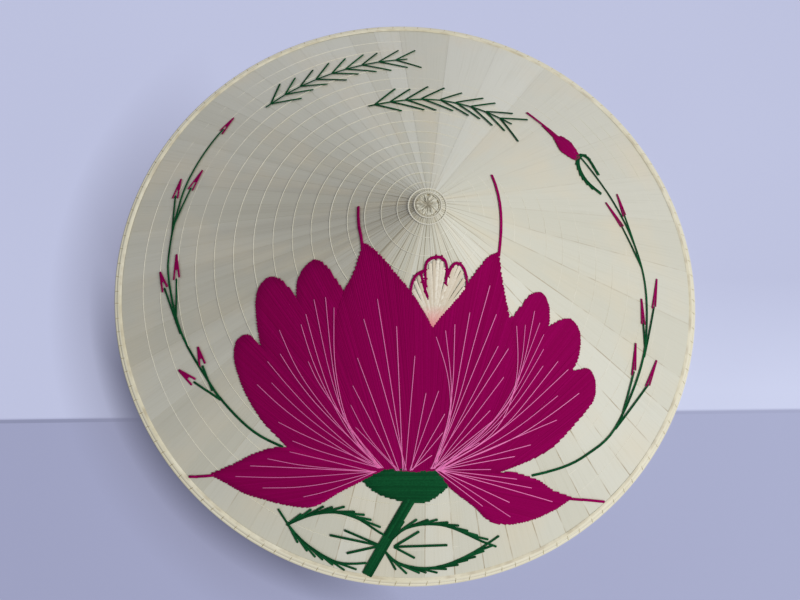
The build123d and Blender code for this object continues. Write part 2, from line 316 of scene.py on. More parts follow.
def palmLeaf(name, look):
    # Ironed palm leaf: pale, waxy, with fine grain from tip to rim and brown seams, and painted shade in
    # bands on the left and in the creases round the tip.
    material, tree = blank(name)
    across, along = mark(tree, "across"), mark(tree, "along")
    fibres = grained(tree, across, along, look["fibres"])
    stripes = grained(tree, across, along, look["stripes"])
    clouds = grained(tree, across, along, look["clouds"], 3.0)
    base = mixed(tree, mark(tree, "tone"), paint(look["light"]), paint(look["dark"]))
    # Painted shade: the band mark darkens the leaf toward the shade colour, in streaks that come and go.
    shaded = times(tree, ranged(tree, stripes, 0.38, 0.66, look["shadeLeast"], 0.9), mark(tree, "band"))
    base = mixed(tree, shaded, base, paint(look["shade"]))
    base = mixed(tree, ranged(tree, clouds, 0.48, 0.75, 0.0, look["cloudDepth"]), base,
                 paint(look["warm"]))
    base = mixed(tree, ranged(tree, fibres, 0.5, 0.8, 0.0, look["grainDepth"]), base,
                 paint(look["dark"]), "MULTIPLY")
    base = mixed(tree, seamLines(tree, across, along, look), base, paint(look["seam"]))
    # Painted shade in the creases round the tip, where the outer leaves are pleated.
    creases = times(tree, foldLines(tree, across, along, look), mark(tree, "fold"))
    base = mixed(tree, creases, base, paint(look["fold"]))
    return coated(material, base, look["roughness"], bump=(fibres, 0.25, 0.0003))


def bamboo(name, light, dark, creviceShade=None):
    # Split bamboo: long fibres round the ring and darker blotches now and then, and, for the rim,
    # painted shade in its groove and along its inner edge.
    material, tree = blank(name)
    spot = add(tree, "ShaderNodeTexCoord").outputs["Object"]
    xyz = add(tree, "ShaderNodeSeparateXYZ", {}, {"Vector": spot}).outputs
    turn = figure(tree, "ARCTAN2", xyz["Y"], xyz["X"])
    fibre = grained(tree, turn, xyz["Z"], (5.0, 2500.0))
    blotch = noise(tree, spot, 60.0)
    base = mixed(tree, ranged(tree, fibre, 0.35, 0.7, 0.0, 0.7), paint(light), paint(dark))
    base = mixed(tree, ranged(tree, blotch, 0.55, 0.8, 0.0, 0.5), base, paint(dark))
    if creviceShade:
        # Painted shade in dark brown: down in the groove between the rods, and now and then along the
        # inner edge, where the gap under the leaves is partly painted shadow and partly brown leaf
        # edges.
        groove = figure(tree, "COMPARE", mark(tree, "edge"), 0.48, 0.03)
        base = mixed(tree, times(tree, groove, 0.5), base, paint(creviceShade))
        inner = ranged(tree, mark(tree, "edge"), 0.955, 0.98)
        patchy = ranged(tree, noise(tree, spot, 110.0), 0.40, 0.66, 0.05, 0.35)
        base = mixed(tree, times(tree, inner, patchy), base, paint(creviceShade))
    return coated(material, base, 0.5)


def yarn(name, light, dark, roughness=0.9, specular=0.04, foot=None):
    # Spun yarn: each stitch a little lighter or darker than the next, soft and fibrous.
    material, tree = blank(name)
    spot = add(tree, "ShaderNodeTexCoord").outputs["Object"]
    island = add(tree, "ShaderNodeNewGeometry").outputs["Random Per Island"]
    fuzz = noise(tree, spot, 900.0)
    base = mixed(tree, island, paint(light), paint(dark))
    base = mixed(tree, ranged(tree, fuzz, 0.4, 0.7, 0.0, 0.6), base, paint(dark))
    if foot:
        # Dyed in another colour toward the foot of the tuft.
        y = add(tree, "ShaderNodeSeparateXYZ", {}, {"Vector": spot}).outputs["Y"]
        base = mixed(tree, ranged(tree, y, foot["from"], foot["to"], 0.9, 0.0), base,
                     paint(foot["colour"]))
    return coated(material, base, roughness, specular, (fuzz, 0.4, 0.0002))


colours = {
    "magenta": ("#900053", "#840049"),
    "green": ("#12552f", "#093c20"),
    "pink": ("#f78fc8", "#e676b6"),
    "cream": ("#ebe4d4", "#cdc0aa"),
    "white": ("#e4e1d4", "#d4d0c0"),
    "tie": ("#c6ba93", "#a39468"),
    # dark brown of the rim's painted shade, in its groove and along its inner edge
    "creviceShade": "#7d6440",
    "rod": ("#d8c08a", "#a98a52"),
    "rim": ("#e4dfca", "#d2caac"),
}
pinkFoot = {"colour": "#ea828c", "from": -0.0590, "to": -0.0480}   # along Y
outerLeafPaint = palmLeaf("palm_leaf_outer", leafLook)
innerLeafPaint = palmLeaf("palm_leaf_inner", dict(leafLook, light="#d9cba6", dark="#bfae86"))
rodPaint = bamboo("bamboo_rod", *colours["rod"])
rimPaint = bamboo("bamboo_rim", *colours["rim"], creviceShade=colours["creviceShade"])
tiePaint = yarn("tie_thread", *colours["tie"], specular=0.3)
magentaPaint = yarn("magenta_yarn", *colours["magenta"])
greenPaint = yarn("green_yarn", *colours["green"])
pinkPaint = yarn("pink_thread", *colours["pink"])
creamPaint = yarn("cream_thread", *colours["cream"], foot=pinkFoot)
whitePaint = yarn("white_thread", *colours["white"], roughness=0.5, specular=0.3)
print("materials made")

# Leaves: lapped strips, pleated round the tip

leaf = {
    "count": 16,
    # Strips, brown seams and painted shade of each leaf, from the front and to the right; the painted
    # shade is strongest on the left, away from the sun
    "strips": (4, 4, 3, 2, 2, 2, 2, 2, 4, 4, 4, 4, 4, 4, 4, 4),
    "seams": (0.9, 0.9, 0.8, 0.5, 0.2, 0.1, 0.1, 0.1, 0.05, 0.0, 0.0, 0.0, 0.0, 0.1, 0.4, 0.8),
    "bands": (0.0, 0.0, 0.0, 0.05, 0.1, 0.05, 0.0, 0.0, 0.0, 0.1, 0.35, 0.8, 1.0, 0.9, 0.45, 0.0),
    "face": 0.00128,         # height of the outer face over the lay cone
    "lap": 0.00012,
    "innerStrips": 3,
    "innerFace": 0.00028,
    "innerLap": 0.0003,
    "innerGroup": 4,         # inner leaves in each piece
    "wave": 0.00012,
    "pleats": 8,             # folds per leaf round the tip
    "pleatDepth": 0.00010,
    "pleatReach": 0.088,
    "thickness": 0.00025,
    "columns": 48,           # faces across a leaf, shared out over its strips
    "rows": 40,
    "bandFade": 0.65 / 0.24,   # how the painted shade of a band gives way down the slope
}
leafMarks = ("across", "along", "tone", "edge", "seam", "fold", "band")


def pleat(azimuth, slant):
    # How deep the folds are here, most at the tip and at the front, and how far down in
    # one this is: 0 on a ridge, 1 in the fold.
    front = 0.5 + 0.5 * cos(azimuth + 0.15)
    reach = leaf["pleatReach"] * (0.45 + 0.55 * front)
    fade = max(0.0, 1.0 - slant / reach) * (0.4 + 0.6 * front)
    ridge = abs(sin(azimuth * leaf["pleats"] * leaf["count"] / 2))
    return fade, (1.0 - ridge) ** 2


def leafStrips(bm, index, count, face, lap, sign, rng):
    # One leaf in lapped strips. The sign is 1 for outer leaves and -1 for inner ones.
    leafArc = 2 * pi / leaf["count"]
    arc = leafArc / count
    bandHere, bandNext = (leaf["bands"][k % leaf["count"]] for k in (index, index + 1))

    def slantOf(v):
        low = slantAt(hat["leafLow"], face)
        return low + (hat["leafTop"] - low) * v

    for k in range(count):
        start = (index + k / count) * leafArc
        tone = rng.random()
        lean = rng.uniform(0.6, 1.2) * lap

        def place(u, v):
            azimuth, slant = start + arc * u, slantOf(v)
            depth, valley = pleat(azimuth, slant)
            wave = leaf["wave"] * sin(5 * azimuth + 30 * slant)
            rise = face + lean * (u - 0.5) + wave - leaf["pleatDepth"] * depth * valley * sign
            return around(azimuth, slant, rise)

        def edge(u, v):
            return min(u, 1 - u) * arc * slantOf(v) * cos(slope)

        # How much painted crease shade this part of an outer leaf gets.
        def fold(u, v):
            depth = pleat(start + arc * u, slantOf(v))[0]
            return min(1.0, depth * 1.6) if sign > 0 else 0.0

        # How much painted shade this part of the leaf gets, most near the tip.
        def band(u, v):
            share = (k + u) / count
            return (1.0 - leaf["bandFade"] * slantOf(v)) * (bandHere * (1 - share) + bandNext * share)

        patch(bm, leaf["columns"] // count, leaf["rows"], place, {
            "across": lambda u, v: (start + arc * u) * leafLook["acrossPerRadian"],
            "along": lambda u, v: slantOf(v),
            "tone": lambda u, v: tone,
            "edge": edge,
            "seam": lambda u, v: leaf["seams"][index],
            "fold": fold,
            "band": band})


for i in range(leaf["count"]):
    bm = markedMesh(*leafMarks)
    leafStrips(bm, i, leaf["strips"][i], leaf["face"], leaf["lap"], 1, Random(100 + i))
    bmesh.ops.solidify(bm, geom=bm.faces[:], thickness=leaf["thickness"])
    piece(f"leafOuter{i + 1:02d}", bm, outerLeafPaint, [f"outer_leaf_{i + 1:02d}"])
for i, side in enumerate(("front_right", "back_right", "back_left", "front_left")):
    bm = markedMesh(*leafMarks)
    for j in range(i * leaf["innerGroup"], (i + 1) * leaf["innerGroup"]):
        leafStrips(bm, j, leaf["innerStrips"], leaf["innerFace"], leaf["innerLap"], -1, Random(200 + j))
    bmesh.ops.solidify(bm, geom=bm.faces[:], thickness=-leaf["thickness"])
    piece(f"leavesInner{i + 1}", bm, innerLeafPaint, [f"inner_leaves_{side}"])
print("leaves made")

# Rim: two split rods of bamboo with a groove between them, and thread ties over both

rim = {
    "inner": 0.00140,        # under and upper face, over the lay cone
    "outer": 0.00262,
    "width": 0.0046,
    # Shares of the width, from the outer edge in, and of the height
    "section": ((0.0, 0.0), (0.0, 0.8), (0.12, 1.0), (0.34, 1.0), (0.44, 0.86), (0.48, 0.62),
                (0.52, 0.86), (0.62, 1.0), (0.88, 1.0), (0.97, 0.82), (1.0, 0.5), (1.0, 0.0)),
    "segments": 256,
    "ties": 129,
    "tieWidth": 0.00030,
    "tieHeight": 0.00022,
    "tieFrom": 0.0008,       # ties start this far in from the rim's outer edge
    "tieShort": 0.0006,
    "tieUneven": 0.12,
    "tieLean": (0.002, 0.006),
}


def rimSection(u):
    # Once round the section of the two rods: how far in from the outer edge, and the rise.
    share, height = rim["section"][round(u * len(rim["section"])) % len(rim["section"])]
    return share * rim["width"], rim["inner"] + (rim["outer"] - rim["inner"]) * height


def rimPlace(u, v):
    back, rise = rimSection(u)
    return around(2 * pi * v, slantAt(0.0, rise) - back, rise)


bm = markedMesh("edge")
patch(bm, len(rim["section"]), rim["segments"], rimPlace,
      {"edge": lambda u, v: rimSection(u)[0] / rim["width"]})
piece("rim_split_rods", bm, rimPaint, ["rim_band"])

bm = bmesh.new()
rng = Random(150)
tieSlant = slantAt(0.0, rim["outer"]) - rim["tieFrom"]
for i in range(rim["ties"]):
    start = 2 * pi * (i + rng.uniform(-rim["tieUneven"], rim["tieUneven"])) / rim["ties"]
    lean = rng.uniform(*rim["tieLean"])

    def tiePlace(u, v):
        angle = 2 * pi * u
        full = 0.0 if v < 0.01 or v > 0.99 else 1.0
        aside = cos(angle) * rim["tieWidth"] / 2 / hat["radius"] * full
        rise = rim["outer"] + rim["tieHeight"] * (0.3 + 0.5 * sin(angle) * full)
        return around(start + lean * v + aside, tieSlant - (rim["width"] - rim["tieShort"]) * v, rise)

    patch(bm, 5, 5, tiePlace)
piece("rim_ties", bm, tiePaint, ["rim_binding"])
print("rim made")

# Embroidery, in hundredths of the radius, with the yarn's own sizes in metres

stitch = {
    "seat": 0.00165,         # over the lay cone
    "height": 0.00062,
    "pitch": 0.37,           # between the rows of a petal
    "widePitch": 0.45,
    "ragged": 0.2,           # how far the ends of the rows wander over the outline
    "overlap": 2.0,          # yarn width against the room it has in a row
    "shortest": 1.2,         # shorter rows are left out
    "bend": 0.15,
    "stride": 4.0,           # between the points of a row
    "steps": 4,              # between the ends of a back stitch
    "lapOver": 0.25,         # and how far it runs on under the next
    "strandGap": 0.8,        # in yarn widths
    "wander": 0.06,
}
laidYarns = {                # width of the yarn, and length of each stitch
    "whisker": (0.0017, 12.0),
    "stem": (0.0020, 16.0),
    "heart": (0.0015, 3.2),
    "leafEdge": (0.0014, 7.0),
    "twig": (0.0015, 10.0),
    "sideTwig": (0.0014, 12.0),
    "loop": (0.0014, 6.0),
    "budTail": (0.0022, 12.0),
    "sprig": (0.0015, 9.0),
}
straightYarns = {
    "heart": 0.0009,
    "leafEdge": 0.0014,
    "leafVein": 0.0015,
    "loop": 0.0013,
    "bud": 0.0014,
    "budMiddle": 0.0012,
    "sprig": 0.0015,
}


def crossings(outline, origin, heading):
    # Distances along a ray at which it meets the closed outline.
    hits = []
    for (ax, ay), (bx, by) in zip(outline, outline[1:] + outline[:1]):
        sideA = (ax - origin[0]) * heading[1] - (ay - origin[1]) * heading[0]
        sideB = (bx - origin[0]) * heading[1] - (by - origin[1]) * heading[0]
        if (sideA > 0) != (sideB > 0):
            t = sideA / (sideA - sideB)
            x, y = ax + (bx - ax) * t - origin[0], ay + (by - ay) * t - origin[1]
            hits.append(x * heading[0] + y * heading[1])
    return sorted(hits)


def satin(bm, outline, foot, rng, pitch, ragged):
    # Rows of yarn side by side that fan out from the foot and fill the outline.
    midX = sum(p[0] for p in outline) / len(outline) - foot[0]
    midY = sum(p[1] for p in outline) / len(outline) - foot[1]
    reach, facing = hypot(midX, midY), atan2(midY, midX)
    turns = [(atan2(y - foot[1], x - foot[0]) - facing + pi) % (2 * pi) - pi for x, y in outline]
    step = pitch / reach
    for k in range(int((max(turns) - min(turns)) / step) + 1):
        angle = facing + min(turns) + step * (k + rng.uniform(0.35, 0.65))
        heading = (cos(angle), sin(angle))
        hits = crossings(outline, foot, heading)
        for start, end in zip(hits[::2], hits[1::2]):
            start -= rng.uniform(-0.2, 1.0) * ragged
            end += rng.uniform(-0.2, 1.0) * ragged
            if end - start < stitch["shortest"]:
                continue
            bend = rng.uniform(-stitch["bend"], stitch["bend"])
            inner = max(2, round((end - start) / stitch["stride"]))
            stops = [start + (end - start) * j / inner for j in range(inner + 1)]
            line = []
            for along in stops:
                aside = bend * sin(pi * (along - start) / (end - start))
                line.append((foot[0] + heading[0] * along - heading[1] * aside,
                             foot[1] + heading[1] * along + heading[0] * aside))
            width = step * (start + end) / 2 * unit * stitch["overlap"]
            thread(bm, line, width, stitch["height"] * rng.uniform(0.85, 1.1), stitch["seat"])


def rounded(*runs):
    # A closed outline from smooth runs that meet at corners.
    outline = []
    for run in runs:
        outline += smoothLine(run, 4)[:-1] if len(run) > 2 else list(run[:-1])
    return outline


def laid(bm, points, width, length, rng, strands=1):
    # Back stitches in one or more strands along a smooth line, each overlapping the next.
    line = evenLine(eased(points, 3), length / stitch["steps"])
    for strand in range(strands):
        shift = (strand - (strands - 1) / 2) * width / unit * stitch["strandGap"]
        first = 2 + strand % 2
        k = 0
        while k < len(line) - 1:
            end = min(k + (stitch["steps"] if k else first), len(line) - 1)
            part = line[k:end + 1]
            part[0] = toward(part[0], part[1], -stitch["lapOver"])
            part[-1] = toward(part[-1], part[-2], -stitch["lapOver"])
            a, b = part[0], part[-1]
            run = hypot(b[0] - a[0], b[1] - a[1])
            aside = shift + rng.uniform(-stitch["wander"], stitch["wander"])
            moved = [(x + (b[1] - a[1]) / run * aside, y - (b[0] - a[0]) / run * aside) for x, y in part]
            thread(bm, moved, width, stitch["height"] * rng.uniform(0.9, 1.05), stitch["seat"])
            k = end


def straight(bm, foot, tip, width, rng):
    line = [between(foot, tip, j / 3) for j in range(4)]
    thread(bm, line, width, stitch["height"] * rng.uniform(0.85, 1.1), stitch["seat"])


def leaned(a, b, lean, reach):
    # The point so far from a, so many degrees to the left of the way from a to b.
    turn = atan2(b[1] - a[1], b[0] - a[0]) + radians(lean)
    return (a[0] + cos(turn) * reach, a[1] + sin(turn) * reach)


def echelon(bm, points, step, length, lean, width, rng):
    # Straight stitches side by side along a line, all leaning to one side of it.
    line = evenLine(smoothLine(points, 6), step)
    for a, b in list(zip(line, line[1:]))[:-2]:
        tip = leaned(a, b, lean + rng.uniform(-2.5, 2.5), length * rng.uniform(0.85, 1.05))
        straight(bm, a, tip, width, rng)


leftFold = [(-22.7, -18), (-25, -24), (-26.3, -32), (-26, -40), (-24, -47), (-20, -56), (-12.5, -65)]
middleFold = [(1.5, -29), (5, -38), (7, -47), (6.5, -54), (3, -62), (-1, -66.2)]
rightFold = [(24, -26), (27, -38), (26, -46), (21, -54), (14, -60), (3, -65.8)]
lowLeftFold = [(-40, -57.5), (-30, -61), (-20, -63.6), (-12.5, -65)]
lowRightFold = [(21.5, -67), (12, -66.7), (3, -65.8)]
calyxLeft = [(-18.5, -67.6), (-12.5, -65)]
calyxRight = [(3, -65.8), (6.8, -70.2)]

petals = {
    "lotus_petal_tall_left": {
        "foot": (0, -104),
        "outline": rounded(
            leftFold, [(-12.5, -65), (-1, -66.2)], middleFold[::-1],
            [(1.5, -29), (-1, -25), (-4.6, -20), (-9, -15), (-13, -10), (-17, -6.3)],
            [(-17, -6.3), (-19.4, -13), (-22.7, -18)]),
        "whiskers": [[(-17.2, -7.5), (-17.6, -3.5), (-18.2, -1), (-18, 4)]]},
    "lotus_petal_tall_right": {
        "foot": (-4, -104),
        "outline": rounded(
            middleFold, [(-1, -66.2), (3, -65.8)], rightFold[::-1],
            [(24, -26), (22.3, -20), (21, -14), (20.4, -9)],
            [(20.4, -9), (17, -11), (12, -17), (9, -21), (4, -26), (1.5, -29)]),
        "whiskers": [[(20.4, -10), (21.5, -3), (22, 5), (21.3, 12), (20.6, 15)]]},
    "lotus_petals_side_left": {
        "foot": (8, -92),
        "outline": rounded(
            leftFold, lowLeftFold[::-1],
            [(-40, -57.5), (-43, -54.5), (-48, -49), (-52.5, -41.5), (-55, -35), (-56, -30),
             (-55, -26), (-52, -24.6), (-49.5, -26), (-47.3, -28.5)],
            [(-47.3, -28.5), (-48.2, -23), (-48.5, -16), (-47.5, -12), (-44.5, -9.7),
             (-41, -11), (-38, -14.5), (-36, -18)],
            [(-36, -18), (-35.8, -13)],
            [(-35.8, -13), (-34, -9.8), (-31, -7.9), (-28, -9.6), (-25, -14), (-22.7, -18)]),
        "whiskers": []},
    "lotus_petals_side_right": {
        "foot": (-12, -90),
        "outline": rounded(
            rightFold, lowRightFold[::-1],
            [(21.5, -67), (30, -64.3), (35, -62.3), (40, -59.5), (46, -54), (51, -49),
             (53.7, -45), (53.5, -40), (51, -37.3), (48, -37.8), (45.2, -38.3)],
            [(45.2, -38.3), (47, -35), (48, -31), (47.5, -26.5), (44.5, -23.8), (40, -25),
             (36.5, -27)],
            [(36.5, -27), (37, -24)],
            [(37, -24), (36.5, -20.5), (34.5, -17.8), (30.5, -19), (27, -23), (24, -26)]),
        "whiskers": []},
    "lotus_petal_low_left": {
        "foot": (34, -64),
        "outline": rounded(
            lowLeftFold, [(-12.5, -65), (-18.5, -67.6)],
            [(-18.5, -67.6), (-26, -70.8), (-31, -73.5), (-36, -74.5), (-43, -73.3),
             (-49, -71.5), (-55, -69.5), (-61, -66), (-66, -63.4)],
            [(-66, -63.4), (-58, -61), (-52, -58.7), (-45, -57.2), (-40, -57.5)]),
        "whiskers": [[(-64.5, -63.8), (-69.5, -63.9), (-73, -63.6)]]},
    "lotus_petal_low_right": {
        "foot": (-44, -60),
        "outline": rounded(
            lowRightFold, calyxRight,
            [(6.8, -70.2), (10, -72.8), (15, -76.5), (19, -80.2), (23, -81.8), (28, -82),
             (34, -81), (39, -79.3), (43, -77.5), (47, -75)],
            [(47, -75), (40, -72.5), (36, -70), (32, -68.5), (27, -67.2), (21.5, -67)]),
        "whiskers": [[(45.5, -75.2), (53, -76), (59, -76.7)]]},
}
for number, (node, look) in enumerate(petals.items()):
    rng = Random(300 + number)
    bm = bmesh.new()
    satin(bm, look["outline"], look["foot"], rng, stitch["pitch"], stitch["ragged"])
    for whisker in look["whiskers"]:
        laid(bm, whisker, *laidYarns["whisker"], rng)
    piece(node.replace("lotus_", "") + "_yarn", bm, magentaPaint, [node])

calyx = {
    "foot": (-150, -64),
    "outline": rounded(
        calyxLeft, [(-12.5, -65), (-8, -65), (-3, -65.4), (3, -65.8)], calyxRight,
        [(6.8, -70.2), (4, -72.5), (0, -74.4), (-5, -74.2), (-10, -73), (-15, -70.8), (-18.5, -67.6)]),
    "ragged": 0.6,
}
stemLine = [(-4.6, -73.8), (-9.8, -82), (-17.9, -95.4)]
rng = Random(320)
bm = bmesh.new()
satin(bm, calyx["outline"], calyx["foot"], rng, stitch["widePitch"], calyx["ragged"])
piece("calyx_yarn", bm, greenPaint, ["lotus_calyx"])
bm = bmesh.new()
laid(bm, stemLine, *laidYarns["stem"], rng, strands=4)
piece("stem_yarn", bm, greenPaint, ["lotus_stem"])

# Heart of the lotus: outline loops in magenta and a tuft of pale threads

heart = {
    "loops": [
        [(-4.6, -20), (-4, -17.2), (-2.5, -15.9), (-0.8, -15.4)],
        [(-1.9, -16), (-1, -19), (0, -21.5)],
        [(-0.6, -20.5), (-0.8, -14.5), (0, -13), (2, -12.3), (4.5, -12.5), (5.3, -14.5), (4.9, -18.5)],
        [(5.6, -16.5), (6.4, -14.2), (8, -13.1), (10, -14.3), (10.9, -17), (11.0, -19.4)]],
    "crossPitch": 1.7,       # between the short stitches that cross the loops
    "crossReach": 0.75,      # each way from the loop
}
bm = bmesh.new()
for loop in heart["loops"]:
    laid(bm, loop, *laidYarns["heart"], rng)
    for x, y in evenLine(eased(loop, 3), heart["crossPitch"]):
        away = rng.uniform(0, 2 * pi)
        reachX, reachY = cos(away) * heart["crossReach"], sin(away) * heart["crossReach"]
        straight(bm, (x - reachX, y - reachY), (x + reachX, y + reachY), straightYarns["heart"], rng)
piece("heart_yarn", bm, magentaPaint, ["lotus_heart"])

veins = {
    (-13, -64.5): [
        [(-22, -55), (-26, -38), (-25.4, -21.5)], [(-23, -54), (-26.4, -38), (-27.7, -18.5)],
        [(-23, -52), (-27.5, -38), (-31, -18.5)], [(-25, -50), (-30, -36), (-33.5, -22)],
        [(-20, -58), (-27, -46), (-32, -35), (-35, -24.5)], [(-30, -42), (-33.3, -34.5)],
        [(-22, -56), (-31, -45), (-37, -36), (-41.5, -25)], [(-30, -48), (-37, -39), (-41.5, -31.5)],
        [(-20, -60), (-32, -49), (-40, -40), (-45.5, -33)], [(-30, -53), (-38, -46), (-44.5, -39)],
        [(-21, -61), (-33, -53), (-42, -46), (-49, -39)], [(-35, -54.5), (-43, -50)],
        [(-31, -59), (-39, -55.5)]],
    (-14.5, -65.4): [
        [(-40, -58.5)], [(-35, -63), (-47, -60)], [(-52.5, -61.7)], [(-40, -66), (-57.5, -64.5)],
        [(-27, -67.8), (-38, -68.8), (-49, -68.3)], [(-22, -68), (-30, -70.5), (-36.5, -71.5)]],
    (-8, -65.5): [
        [(-20.3, -53)], [(-17, -56), (-21.5, -47)], [(-20.8, -42)], [(-19.3, -35)]],
    (-6, -65.5): [
        [(-17.3, -25.5)], [(-13.5, -21)], [(-8.4, -28)], [(-3.4, -35.5)]],
    (-4, -65.5): [
        [(-0.2, -45)], [(3.4, -44.5)], [(5.3, -50.5)], [(4.8, -55.5)], [(1.8, -61.5)]],
    (2, -65.3): [
        [(6, -56), (7.2, -50), (6, -40), (2.4, -31)], [(7.3, -50), (7, -42), (5, -29.5)],
        [(7.5, -48), (7.6, -28)], [(7.5, -50), (9.5, -38), (11.8, -25)],
        [(8.5, -50), (13, -33), (17.6, -18)], [(19.7, -25)], [(20.5, -33)], [(23.7, -33.5)],
        [(22.5, -41)], [(18.7, -49.8)], [(19.8, -52.5)], [(15.8, -58.5)]],
    (3.5, -65.7): [
        [(20, -57), (25.5, -47), (27, -38), (26, -27.5)], [(24, -50), (28, -38), (28.8, -27)],
        [(24, -50), (28.5, -38), (31.8, -23)], [(23, -51), (33.6, -26)], [(23, -51), (35, -29)],
        [(22, -53), (35, -33)], [(22, -54), (35, -37.5)], [(22, -56), (32, -45), (40, -36)],
        [(22, -56), (43.7, -38)], [(24, -57), (40.3, -45.5)], [(25, -58.5), (38, -51), (47.8, -44.5)],
        [(40.3, -52.3)], [(32, -59.3)], [(27, -62.5)], [(19.7, -66)], [(28, -69)], [(33, -71.7)],
        [(40.3, -76)], [(26, -75.7)], [(26.5, -80)], [(17.5, -76.5)]],
}
veinThread = {
    "width": 0.00044,
    "height": 0.0005,
    "seat": 0.00222,         # on top of the petals
    "pitch": 2.4,
    "spread": 0.9,           # each way from the foot
}
bm = bmesh.new()
for foot, threads in veins.items():
    for points in threads:
        start = foot[0] + rng.uniform(-veinThread["spread"], veinThread["spread"])
        path = [(start, foot[1])] + points
        thread(bm, evenLine(eased(path, 4), veinThread["pitch"]), veinThread["width"],
               veinThread["height"], veinThread["seat"], 5)
piece("vein_threads", bm, pinkPaint, ["lotus_veins"])

tuft = {
    "foot": (1.7, -28.5),
    "spread": 0.5,
    "ends": [
        (-4.1, -19.6), (-3.5, -17.6), (-2.5, -16.6), (-1.4, -16.6), (-0.2, -15), (0.6, -13.7),
        (1.6, -13.1), (2.7, -13), (3.7, -13.2), (4.5, -14.6), (5.2, -17.4), (6.1, -16.2),
        (6.9, -14.6), (7.8, -13.9), (8.8, -14.1), (9.6, -15.2), (10.2, -17), (10.3, -19), (10, -20.6)],
    "width": 0.0018,
    "height": 0.00035,
    "seat": 0.0017,
    "pitch": 2.0,
}
bm = bmesh.new()
for end in tuft["ends"]:
    start = tuft["foot"][0] + rng.uniform(-tuft["spread"], tuft["spread"])
    path = evenLine([(start, tuft["foot"][1]), end], tuft["pitch"])
    thread(bm, path, tuft["width"], tuft["height"], tuft["seat"])
piece("heart_tuft", bm, creamPaint, ["lotus_heart"])
print("lotus made")

# Green leaves under the lotus

leaves = {
    "left": {
        "upper": [(-42, -79.5), (-38, -78), (-34, -76.7), (-28, -76.2), (-24, -77), (-19, -79),
                  (-15, -82), (-12, -84)],
        "lower": [(-41.5, -79.5), (-38, -84), (-33, -88), (-28, -91), (-24, -92), (-18, -91.8)],
        "single": [((-44.5, -74.6), (-41.5, -79.5))],
        "foot": (-13.5, -86.8),
        "veins": [(-29, -83), (-24.5, -81.7), (-24, -88.7)]},
    "right": {
        "upper": [(-10, -85), (-7, -82.3), (-3, -81.2), (1, -80.9), (6, -81.5), (10, -83),
                  (14, -85), (18, -87), (22.3, -88.7)],
        "lower": [(-12, -88.7), (-9, -92), (-5, -93.5), (0, -94.3), (5, -94), (10, -92.5),
                  (15, -90.3), (19, -88), (23, -85.5)],
        "single": [],
        "foot": (-9.5, -87.3),
        "veins": [(-1.7, -83), (7, -87.5), (-3, -91)]},
}
teeth = {"step": 3.1, "length": 6.6, "lean": 10}   # the slanting stitches along a leaf's edge
for side, look in leaves.items():
    bm = bmesh.new()
    for arc in ("upper", "lower"):
        laid(bm, look[arc], *laidYarns["leafEdge"], rng)
    for arc, lean in (("upper", teeth["lean"]), ("lower", -teeth["lean"])):
        echelon(bm, look[arc], teeth["step"], teeth["length"], lean, straightYarns["leafEdge"], rng)
    for foot, tip in look["single"]:
        straight(bm, foot, tip, straightYarns["leafEdge"], rng)
    for tip in look["veins"]:
        straight(bm, look["foot"], tip, straightYarns["leafVein"], rng)
    piece(f"leaf_{side}_yarn", bm, greenPaint, [f"leaf_{side}"])

# Bud sprays: twigs with side twigs, small buds of three stitches, and a large bud between
# two loops on the right

sprays = {
    "left": {
        "twig": [(-42, -57), (-51, -52.5), (-61, -42), (-66, -34), (-71, -26), (-74.5, -19),
                 (-77, -10), (-79, 0), (-79, 5), (-78, 15), (-75.5, 27), (-73, 34),
                 (-69.5, 41), (-65, 48), (-62.5, 51)],
        "sideTwigs": [[(-61, -42), (-69.6, -35.8)], [(-63.5, -39), (-66.5, -31.5)],
                      [(-74, -20.5), (-80, -5)], [(-75.5, -17), (-75.6, -3)],
                      [(-78.2, 13), (-78, 27.5)], [(-77.8, 16), (-72.3, 28.7)]],
        "loops": [],
        "spread": 1.05,
        "buds": [((-63, 50), (-59, 55.5)), ((-69.5, -36), (-75, -31.4)), ((-66.5, -31.5), (-68, -25.5)),
                 ((-80, -5), (-82, 1)), ((-75.6, -3), (-76, 5.5)), ((-78, 27.3), (-76.5, 34)),
                 ((-72.3, 28.4), (-68.5, 34.8))]},
    "right": {
        "twig": [(33, -68), (40, -66.8), (47, -64.8), (53, -61.5), (58, -58.5), (62, -54.5),
                 (67, -46), (71, -38), (74, -30), (75.5, -20), (76, -10), (75, -2), (72, 8),
                 (67, 18), (62, 26), (57, 33), (55.6, 34.6)],
        "sideTwigs": [[(62, -54.5), (75, -40.6)], [(64, -52), (69, -37)],
                      [(73.5, -32), (78.9, -15.5)], [(74, -30), (73.6, -21.5)],
                      [(75, -3), (68, 10.8)], [(74.6, -2), (70.4, 15)]],
        "loops": [[(57.2, 35), (55, 32.8), (54.4, 28.5), (56.3, 23.4), (61.7, 20.4)],
                  [(56.6, 34.8), (59.6, 35.4), (62.5, 28.2)]],
        "spread": 0.6,
        "buds": [((75, -40.6), (79, -32.5)), ((69, -37), (70, -28)), ((78.9, -15.5), (81.5, -5.5)),
                 ((73.6, -21.5), (73.5, -13.5)), ((68, 10.8), (63, 17.5)), ((70.4, 15), (69, 22.5))]},
}
loopTeeth = {"step": 2.0, "length": 3.2, "lean": -12}
largeBud = {
    "foot": (66, 14),
    "outline": rounded(
        [(56, 33.6), (54.5, 38.6), (51, 41.2), (47.5, 41.2), (40, 48.5)],
        [(40, 48.5), (46.4, 41), (48.3, 35), (50.5, 32.8), (54.2, 31.6)],
        [(54.2, 31.6), (56, 33.6)]),
    "ragged": 0.3,
    "tail": [(50, 39.5), (39.4, 49.2)],
}


